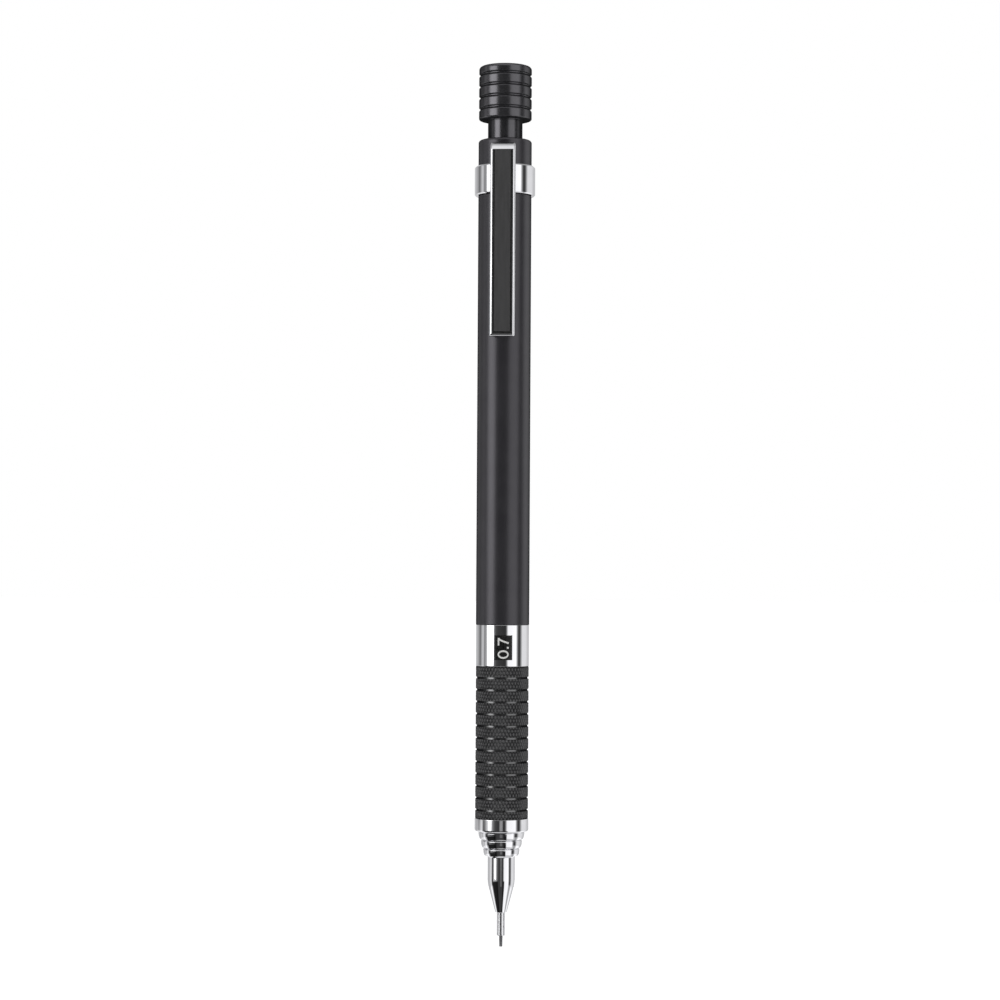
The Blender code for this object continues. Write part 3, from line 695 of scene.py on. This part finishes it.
def wrapped(bm, distance):
    """Bends a flat piece round the axis: x and z in millimetres, y is its rise."""
    for vert in bm.verts:
        across, rise, height = vert.co
        reach = distance + rise
        angle = (across + BADGE_SHIFT) / distance - math.pi / 2
        vert.co = (
            reach * MM * math.cos(angle),
            reach * MM * math.sin(angle),
            world_z(height),
        )


def badge():
    """Black plate with the ring's curve, its face just below the ring's."""
    half, low, high = badge_extent()
    outer = radius("spacer_ring")
    bm = bmesh.new()
    bmesh.ops.create_grid(bm, x_segments=18, y_segments=1, size=1.0)
    for vert in bm.verts:
        x, y, _ = vert.co
        level = low if y < 0 else high
        vert.co = (x * half, 0.0, level)
    bmesh.ops.solidify(bm, geom=list(bm.faces), thickness=BADGE_THICKNESS)
    lift = max(vert.co.y for vert in bm.verts)
    for vert in bm.verts:
        vert.co.y -= lift + BADGE_SINK
    rim = [edge for edge in bm.edges if is_face_rim(edge)]
    bmesh.ops.bevel(bm, geom=rim, offset=0.05, segments=3, profile=0.5, affect="EDGES")
    wrapped(bm, outer)
    add_piece("size_badge_fine", bm, BADGE_BLACK, "barrel", ["size_badge"])


def is_face_rim(edge):
    """True for an edge round the front face of a flat plate that lies below y = 0."""
    if any(vert.co.y < -0.02 for vert in edge.verts):
        return False
    return any(abs(face.normal.y) < 0.5 for face in edge.link_faces)


def stroke_outline(points, width):
    """Outline of a stroke of even width along a line of points."""
    left = []
    right = []
    for i, point in enumerate(points):
        here = Vector(point)
        before = Vector(points[max(i - 1, 0)])
        after = Vector(points[min(i + 1, len(points) - 1)])
        along = (after - before).normalized()
        across = Vector((-along.y, along.x)) * width / 2
        left.append(here + across)
        right.append(here - across)
    return left, right


def flat_strip(bm, left, right, closed=False):
    """Faces between two lines of points in the digits' plane (reading right, up)."""
    first = [bm.verts.new((p.x, 0, p.y)) for p in left]
    second = [bm.verts.new((p.x, 0, p.y)) for p in right]
    count = len(first)
    for i in range(count if closed else count - 1):
        j = (i + 1) % count
        bm.faces.new((first[i], first[j], second[j], second[i]))


def digits():
    """Light lead-size digits that read up the badge, in a plain generic face."""
    bm = bmesh.new()
    tall = DIGIT_HEIGHT
    wide = DIGIT_WIDTH
    stroke = DIGIT_STROKE
    left = []
    right = []
    for i in range(48):
        angle = math.tau * i / 48
        bow = Vector((math.cos(angle), math.sin(angle)))
        centre = Vector((FIRST_MIDDLE, tall / 2))
        left.append(centre + Vector((bow.x * wide / 2, bow.y * tall / 2)))
        inner = Vector((bow.x * (wide / 2 - stroke), bow.y * (tall / 2 - stroke * 0.85)))
        right.append(centre + inner)
    flat_strip(bm, left, right, closed=True)
    dot = [Vector((DOT_START, 0.0)), Vector((DOT_START, DOT_SIZE))]
    flat_strip(bm, dot, [p + Vector((DOT_SIZE, 0.0)) for p in dot])
    bar = [Vector((LAST_START, tall)), Vector((LAST_START, tall - stroke * 0.9))]
    flat_strip(bm, bar, [p + Vector((LAST_WIDTH, 0.0)) for p in bar])
    leg = []
    leg_top = tall - 0.16
    for i in range(13):
        t = i / 12
        leg.append((LAST_START + 1.12 - 0.74 * t ** 0.62, leg_top - leg_top * t))
    left, right = stroke_outline(leg, stroke)
    flat_strip(bm, left, right)
    start = bottom("size_badge") + DIGIT_MARGIN
    for vert in bm.verts:
        reading, _, rise = vert.co
        vert.co = (DIGIT_FOOT - rise, 0.0, start + reading)
    bmesh.ops.recalc_face_normals(bm, faces=bm.faces)
    raised = bmesh.ops.extrude_face_region(bm, geom=list(bm.faces))
    for item in raised["geom"]:
        if isinstance(item, bmesh.types.BMVert):
            item.co.y += DIGIT_RISE
    wrapped(bm, radius("spacer_ring"))
    add_piece("size_digits", bm, INK_WHITE, "barrel", angle=25)


# ---- Barrel, cap and collar --------------------------------------------------------


def barrel():
    """Matt black barrel tube."""
    outer = radius("barrel_tube")
    low = bottom("barrel_tube")
    high = top("barrel_tube")
    socket = BARREL_SOCKET_BOTTOM
    profile = [(outer, high, 0.08), (outer, low, 0.08), (TUBE_BORE, low)]
    profile += [(TUBE_BORE, socket), (CAP_SOCKET, socket), (CAP_SOCKET, high)]
    bm = turned_mesh(profile)
    names = ["barrel_tube"]
    add_piece("barrel_tube_fine", bm, BARREL_BLACK, "barrel", names)


def cap():
    """Black cap above the collar, with a rounded rim round the knob's neck."""
    outer = radius("top_cap")
    low = bottom("top_cap")
    high = top("top_cap")
    skirt = top("clip_collar") - LUG_RISE + 0.01
    profile = [(CAP_BORE, high, 0.16), (outer, high, 0.42), (outer, skirt, 0.05)]
    profile += [(CAP_SPIGOT, skirt), (CAP_SPIGOT, low), (CAP_BORE, low)]
    bm = turned_mesh(profile)
    add_piece("top_cap_fine", bm, BARREL_BLACK, "barrel", ["top_cap"])


def clip_turn():
    """Angle by which the clip stands round the axis from -Y."""
    low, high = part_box("clip_inlay")
    return math.atan2(low[0] + high[0], -(low[1] + high[1]))


def clip_block(half, distances, low, high, edge, segments):
    """A bevelled block on the clip's side, with its back and front at two distances."""
    back, front = distances
    bm = bmesh.new()
    for vert in bmesh.ops.create_cube(bm, size=1.0)["verts"]:
        x = vert.co.x * 2 * half
        distance = (back + front) / 2 - vert.co.y * (front - back)
        z = (low + high) / 2 + vert.co.z * (high - low)
        vert.co = (x * MM, -distance * MM, world_z(z))
    geom = list(bm.edges)
    bmesh.ops.bevel(bm, geom=geom, offset=edge * MM, segments=segments, affect="EDGES")
    bmesh.ops.rotate(bm, verts=bm.verts, matrix=Matrix.Rotation(clip_turn(), 3, "Z"))
    return bm


def collar():
    """Chromed collar with chamfered rims, and the lug behind the clip's root."""
    outer = radius("clip_collar")
    low = bottom("clip_collar")
    rim = top("clip_collar") - LUG_RISE
    edge = 0.25
    profile = [(CAP_SOCKET, rim, 0.05), (outer - edge, rim, 0.12)]
    profile += [(outer, rim - edge, 0.14), (outer, low + 0.17, 0.10)]
    profile += [(outer - 0.17, low, 0.08), (CAP_SOCKET, low, 0.05)]
    bm = turned_mesh(profile)
    add_piece("clip_collar_fine", bm, CHROME, "barrel", ["clip_collar"])
    high = top("clip_collar")
    lug = clip_block(LUG_HALF_WIDTH, LUG_DISTANCES, low + 1.0, high, 0.12, 3)
    add_piece("clip_lug", lug, CHROME, "barrel")


# ---- Clip --------------------------------------------------------------------------


def clip_section(half, front, back, fold, pocket, cavity):
    """Section of the clip's channel: points of (x, distance from the axis)."""
    inner = half - CLIP_SHEET
    floor = front - pocket
    side = [(0, floor), (CLIP_POCKET_HALF, floor), (CLIP_POCKET_HALF, front)]
    for x, drop in CLIP_RIM:
        side.append((half - x * fold, front - drop * fold))
    side += [(half, back + 0.06), (half - 0.05, back), (inner, back)]
    side += [(inner, back + cavity), (0, back + cavity)]
    other = [(-x, distance) for x, distance in side[-2:0:-1]]
    return side + other


def clip_stations(low, high):
    """(height, half width, front, back, pocket depth, cavity depth) up the arm."""
    half = CLIP_HALF_WIDTH
    face = CLIP_FACE
    back = CLIP_BACK
    end_radius = 0.34
    toe_radius = 0.9
    stations = []

    def toe_back(rise):
        if rise < toe_radius:
            drop = math.sqrt(toe_radius**2 - (toe_radius - rise) ** 2)
            return CLIP_TOE + toe_radius - drop
        blend = min(1.0, (rise - toe_radius) / 2.6)
        return CLIP_TOE + (back - CLIP_TOE) * blend * blend * (3 - 2 * blend)

    for k in range(7):
        angle = math.pi / 2 * k / 6
        rise = end_radius * (1 - math.cos(angle))
        front = face - end_radius + end_radius * math.sin(angle)
        shrink = (end_radius - end_radius * math.sin(angle)) * 0.55
        stations.append((low + rise, half - shrink, front, toe_back(rise), 0, 0))
    pocket_low = bottom("clip_inlay") - 0.06
    pocket_high = top("clip_inlay") + 0.06
    stations.append((pocket_low, half, face, toe_back(pocket_low - low), 0, 0))
    depth = CLIP_POCKET_DEPTH
    for rise in (0.452, 0.7, 0.9, 1.3, 1.7, 2.1, 2.5, 2.9):
        here = max(pocket_low + 0.0005, low + rise)
        stations.append((here, half, face, toe_back(here - low), depth, 0))
    channel = low + 3.0
    start = toe_back(3.0)
    stations.append((channel, half, face, start, depth, 0))
    floor = face - CLIP_SHEET
    stations.append((channel + 0.001, half, face, start, depth, floor - start))
    stations.append((channel + 0.6, half, face, back, depth, floor - back))
    root = high - 1.40
    stations.append((root, half, face, back, depth, floor - back))
    inner = face - CLIP_ROOT_DEPTH
    stations.append((root + 0.001, half, face, inner, depth, 0))
    stations.append((pocket_high, half, face, inner, depth, 0))
    stations.append((pocket_high + 0.001, half, face, inner, 0, 0))
    for rise, reach in CLIP_ROOT:
        over = reach / CLIP_ROOT[-1][1]
        level = high - CLIP_ROOT[-1][0] + rise
        shrink = 0.34 * over**3
        stations.append((level, half - shrink, face - reach, inner + 0.32 * over, 0, 0))
    return stations


def clip():
    """Chromed channel with folded edges, and a pocket in its face for the black strip."""
    low = bottom("clip_arm")
    high = top("clip_arm")
    bm = bmesh.new()
    rings = []
    for level, half, front, back, pocket, cavity in clip_stations(low, high):
        fold = min(CLIP_FOLD, (front - back) * 0.45)
        ring = []
        for x, distance in clip_section(half, front, back, fold, pocket, cavity):
            ring.append(bm.verts.new((x * MM, -distance * MM, world_z(level))))
        rings.append(ring)
    for first, second in zip(rings, rings[1:]):
        join_rings(bm, first, second)
    bm.faces.new(rings[0])
    bm.faces.new(rings[-1])
    bmesh.ops.remove_doubles(bm, verts=bm.verts, dist=1e-8)
    bmesh.ops.rotate(bm, verts=bm.verts, matrix=Matrix.Rotation(clip_turn(), 3, "Z"))
    add_piece("clip_arm_fine", bm, CLIP_CHROME, "clip", ["clip_arm"], angle=30)

    strip_low = bottom("clip_inlay")
    strip_high = top("clip_inlay")
    bed = CLIP_FACE - CLIP_POCKET_DEPTH + 0.005
    edge = 0.012
    strip_start = strip_low + CLIP_GAP_BELOW
    distances = (bed + 0.045, CLIP_FACE)
    bm = clip_block(CLIP_INLAY_HALF, distances, strip_start, strip_high, edge, 2)
    add_piece("clip_inlay_fine", bm, CLIP_BLACK, "clip", ["clip_inlay"])
    # A dark plate on the pocket's floor: painted shade that darkens the open gap round and
    # under the face strip.
    half = CLIP_POCKET_HALF - 0.01
    distances = (bed, bed + 0.04)
    bm = clip_block(half, distances, strip_low - 0.04, strip_high + 0.04, edge, 2)
    add_piece("clip_pocket_shade_plate", bm, BADGE_BLACK, "clip")


# ---- Knob, eraser and spring -------------------------------------------------------


def knob():
    """Ribbed push knob on its neck. Each rib is chamfered above and sharp below."""
    outer = radius("push_knob")
    head_top = top("push_knob")
    profile = [(0, head_top), (outer, head_top, 0.55)]
    floor = outer - KNOB_GROOVE_DEPTH
    for level in KNOB_GROOVES:
        profile += [(outer, level + 0.24, 0.06), (floor, level + 0.06, 0.05)]
        profile += [(floor, level - 0.06, 0.03), (outer, level - 0.38, 0.14)]
    profile += [(outer, KNOB_HEAD_BOTTOM, 0.24), (KNOB_NECK_RADIUS, KNOB_HEAD_BOTTOM, 0.10)]
    skirt = bottom("push_knob")
    bore, ceiling = KNOB_BORE
    profile += [(KNOB_NECK_RADIUS, skirt, 0.1), (bore, skirt, 0.05)]
    profile += [(bore, ceiling), (0, ceiling)]
    bm = turned_mesh(profile)
    add_piece("push_knob_fine", bm, KNOB_BLACK, "knob", ["push_knob"])


def eraser_parts():
    """White eraser with softened edges in its thin steel cup."""
    outer = radius("eraser")
    high = top("eraser")
    low = bottom("eraser")
    profile = [(0, high), (outer, high, 0.45), (outer, low, 0.1), (0, low)]
    bm = turned_mesh(profile, 96)
    add_piece("eraser_fine", bm, ERASER_WHITE, "feed", ["eraser"])
    cup = radius("eraser_holder")
    high = top("eraser_holder")
    low = bottom("eraser_holder")
    shelf = bottom("eraser") - 0.1
    under = 132.05  # underside of the shelf that the eraser stands on
    hole = 1.1
    bore = 2.0
    waist = cup - 0.10  # radius of the pressed groove that grips the eraser
    profile = [(cup, high, 0.12), (cup, high - 1.6, 0.1), (waist, high - 1.8, 0.1)]
    profile += [(waist, high - 2.2, 0.1), (cup, high - 2.4, 0.1), (cup, low, 0.05)]
    profile += [(bore, low), (bore, under), (hole, under), (hole, shelf), (bore, shelf)]
    profile.append((bore, high, 0.08))
    bm = turned_mesh(profile, 96)
    add_piece("eraser_holder_fine", bm, STEEL, "feed", ["eraser_holder"])


def spring():
    """Coil spring with closed end turns."""
    low = bottom("return_spring")
    high = top("return_spring")
    coil = 1.95
    wire = 0.19
    turns = 7
    per_turn = 36
    sides = 12
    closed_rise = 2 * wire + 0.04
    start = low + wire
    span = high - low - 2 * wire
    bm = bmesh.new()
    rings = []
    for i in range(turns * per_turn + 1):
        turn = i / per_turn
        if turn <= 1:
            level = start + closed_rise * turn
        elif turn >= turns - 1:
            level = start + span - closed_rise * (turns - turn)
        else:
            share = (turn - 1) / (turns - 2)
            level = start + closed_rise + (span - 2 * closed_rise) * share
        angle = math.tau * turn
        ring = []
        for k in range(sides):
            round_wire = math.tau * k / sides
            reach = coil + wire * math.cos(round_wire)
            height = level + wire * math.sin(round_wire)
            ring.append(ring_point(bm, reach, height, angle))
        rings.append(ring)
    for first, second in zip(rings, rings[1:]):
        join_rings(bm, first, second)
    bm.faces.new(rings[0])
    bm.faces.new(rings[-1])
    names = ["return_spring"]
    obj = add_piece("return_spring_fine", bm, SPRING_STEEL, "feed", names)
    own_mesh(obj)


# ---- CAD nodes that keep their shape -----------------------------------------------


def dress_inner_parts():
    """Gives the inner CAD parts their materials."""
    looks = {
        "lead_retainer": RUBBER, "barrel_coupler": BRASS, "guide_sleeve": BRASS,
        "clutch_ring": BRASS, "chuck_body": BRASS, "tube_connector": BRASS,
        "feed_tube": TUBE_PLASTIC,
    }
    for i in range(3):
        looks[f"chuck_jaw_{i + 1}"] = BRASS
    for i in range(4):
        looks[f"spare_lead_{i + 1}"] = GRAPHITE
    for name, mat in looks.items():
        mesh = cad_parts[name].data
        mesh.materials.clear()
        mesh.materials.append(mat)


# ---- Studio ------------------------------------------------------------------------


def direction_angles(nodes):
    """Azimuth and elevation of a direction in degrees, and its y.

    Azimuth is 0 at the front (-Y) and positive to the right. In front it is twice the
    turn of the upright surface that mirrors the direction forwards, so that cylinders
    and tapers show the same bands in line; behind, it is the plain angle.
    """
    place = nodes.add("ShaderNodeTexCoord")
    split = nodes.add("ShaderNodeSeparateXYZ", {"Vector": place.outputs["Generated"]})
    x, y, z = split.outputs
    forwards = nodes.product(y, -1.0)
    half_turn = nodes.maths("ARCTAN2", x, nodes.maths("ADD", forwards, 1.0))
    mirrored = nodes.product(nodes.maths("DEGREES", half_turn), 2.0)
    plain = nodes.maths("DEGREES", nodes.maths("ARCTAN2", x, forwards))
    rear = nodes.product(nodes.maths("SUBTRACT", plain, mirrored), nodes.step(y, 0.2, 0.7))
    azimuth = nodes.maths("ADD", mirrored, rear)
    elevation = nodes.maths("DEGREES", nodes.maths("ARCSINE", z))
    return azimuth, elevation, y


def wall_light(nodes, azimuth):
    """Radiance of the walls at an azimuth."""
    ramp = nodes.add("ShaderNodeValToRGB")
    share = nodes.maths("DIVIDE", nodes.maths("ADD", azimuth, 180.0), 360.0)
    nodes.put(ramp.inputs[0], share)
    elements = ramp.color_ramp.elements
    for end, wall in ((0, WALLS[0]), (1, WALLS[-1])):
        elements[end].position = float(end)
        elements[end].color = (*[wall[1]] * 3, 1.0)
    for angle, strength in WALLS[1:-1]:
        stop = elements.new((angle + 180) / 360)
        stop.color = (strength, strength, strength, 1.0)
    return ramp.outputs[0]


def box_light(nodes, azimuth, elevation):
    """Radiance of two soft boxes: a small bright one, left, and a wide one, right."""
    sinking = nodes.maths("MINIMUM", elevation, 0.0)
    left_start = nodes.maths("ADD", azimuth, nodes.product(sinking, 2.2))
    left_end = nodes.maths("SUBTRACT", azimuth, nodes.product(sinking, 1.5))
    left = nodes.product(
        nodes.step(left_start, -73.0, -69.0),
        nodes.step(left_end, -39.0, -35.0, 1.0, 0.0),
        nodes.window(elevation, -11.0, 19.0, 4.0),
    )
    right = nodes.product(
        nodes.window(azimuth, 23.0, 64.0, 3.0),
        nodes.window(elevation, -42.0, 48.0, 5.0),
    )
    return nodes.maths("ADD", nodes.product(left, 2.3), nodes.product(right, 0.5))


def studio_light():
    """Surroundings for light and reflections: walls, soft boxes, ceiling, flags, table.

    Numbers with azimuth and elevation are degrees, and strengths are radiance. The camera
    itself sees plain white.
    """
    world = bpy.data.worlds.new("studio")
    bpy.context.scene.world = world
    world.use_nodes = True
    tree = world.node_tree
    tree.nodes.clear()
    nodes = Nodes(tree)
    azimuth, elevation, y = direction_angles(nodes)
    boxes = box_light(nodes, azimuth, elevation)
    level = nodes.maths("ADD", wall_light(nodes, azimuth), boxes)
    ceiling = nodes.step(y, -0.45, 0.15, 0.95, 0.36)
    level = nodes.fade(level, nodes.step(elevation, 28.0, 45.0), ceiling)
    level = nodes.fade(level, nodes.step(elevation, -66.0, -46.0, 1.0, 0.0), 0.80)
    # Two black flags: a wide one low in front, and a narrow one low at the left.
    front_flag = nodes.product(
        nodes.window(azimuth, -81.0, 27.0, 2.5),
        nodes.window(elevation, -64.0, -12.6, 2.4),
    )
    left_flag = nodes.product(
        nodes.window(azimuth, -85.5, -70.5, 2.5),
        nodes.step(elevation, -7.0, -3.0, 1.0, 0.0),
    )
    shade = nodes.maths(
        "MAXIMUM", nodes.product(front_flag, 0.97), nodes.product(left_flag, 0.85)
    )
    level = nodes.product(level, nodes.maths("SUBTRACT", 1.0, shade))
    left_sheet = nodes.product(
        nodes.window(azimuth, -128.0, -92.0, 4.0),
        nodes.step(elevation, -6.3, -4.5, 0.35, 0.0),
    )
    front_strip = nodes.product(
        nodes.window(azimuth, -8.0, 5.0, 3.0),
        nodes.window(elevation, -30.0, -4.0, 1.5),
        nodes.step(elevation, -6.2, -5.4, 0.10, 0.32),
    )
    flag_glow = nodes.product(front_flag, nodes.window(azimuth, -28.0, 12.0, 8.0), 0.05)
    table = nodes.product(
        nodes.maths("SUBTRACT", 1.0, nodes.window(azimuth, -79.0, 66.0, 3.0)),
        nodes.step(elevation, -25.0, -19.0, 0.35, 0.0),
    )
    for part in (left_sheet, front_strip, flag_glow, table):
        level = nodes.maths("ADD", level, part)
    surroundings = nodes.add("ShaderNodeBackground", {"Strength": level})
    surroundings.inputs["Color"].default_value = (0.985, 0.985, 1.0, 1.0)
    plain = nodes.add("ShaderNodeBackground")
    plain.inputs["Color"].default_value = (1.0, 1.0, 1.0, 1.0)
    rays = nodes.add("ShaderNodeLightPath")
    mix = nodes.add("ShaderNodeMixShader")
    nodes.put(mix.inputs[0], rays.outputs["Is Camera Ray"])
    nodes.put(mix.inputs[1], surroundings.outputs[0])
    nodes.put(mix.inputs[2], plain.outputs[0])
    output = nodes.add("ShaderNodeOutputWorld")
    nodes.put(output.inputs["Surface"], mix.outputs[0])


def studio_floor():
    """Plain pale floor well below the pencil, kept out of its reflections."""
    bm = bmesh.new()
    bmesh.ops.create_grid(bm, x_segments=4, y_segments=4, size=FLOOR_SIZE / 2)
    mesh = bpy.data.meshes.new("floor")
    bm.to_mesh(mesh)
    bm.free()
    floor = bpy.data.objects.new("floor", mesh)
    floor.location.z = TIP_Z - FLOOR_DROP * MM
    mat = bpy.data.materials.new("floor_paper")
    mat.use_nodes = True
    nodes = Nodes(mat.node_tree)
    shader = mat.node_tree.nodes["Principled BSDF"]
    tone = nodes.blend(nodes.noise(40.0), (0.93, 0.93, 0.93), (0.95, 0.95, 0.95))
    nodes.put(shader.inputs["Base Color"], tone)
    nodes.put(shader.inputs["Emission Color"], tone)
    shader.inputs["Emission Strength"].default_value = 0.6
    shader.inputs["Roughness"].default_value = 0.9
    shader.inputs["Specular IOR Level"].default_value = 0.1
    mesh.materials.append(mat)
    bpy.context.scene.collection.objects.link(floor)
    floor.visible_glossy = False


def camera():
    """Long lens a little below the pencil's middle, tilted up slightly and rolled."""
    data = bpy.data.cameras.new("camera")
    data.lens = CAMERA_LENS
    data.sensor_width = 36.0
    data.clip_start = 0.01
    data.clip_end = 100.0
    obj = bpy.data.objects.new("camera", data)
    bpy.context.scene.collection.objects.link(obj)
    place = Vector((CAMERA_OFFSET * MM, -CAMERA_DISTANCE * MM, world_z(CAMERA_HEIGHT)))
    aim = Vector((CAMERA_OFFSET * MM, 0.0, world_z(CAMERA_AIM_HEIGHT)))
    look = (aim - place).to_track_quat("-Z", "Y").to_matrix()
    roll = Matrix.Rotation(CAMERA_ROLL, 3, "Z")
    obj.matrix_world = Matrix.Translation(place) @ (look @ roll).to_4x4()
    bpy.context.scene.camera = obj


nose()
lead_parts()
grip()
spacer_ring()
badge()
digits()
barrel()
cap()
collar()
clip()
knob()
eraser_parts()
spring()
dress_inner_parts()
studio_light()
studio_floor()
camera()
bpy.context.scene.view_settings.view_transform = "Standard"
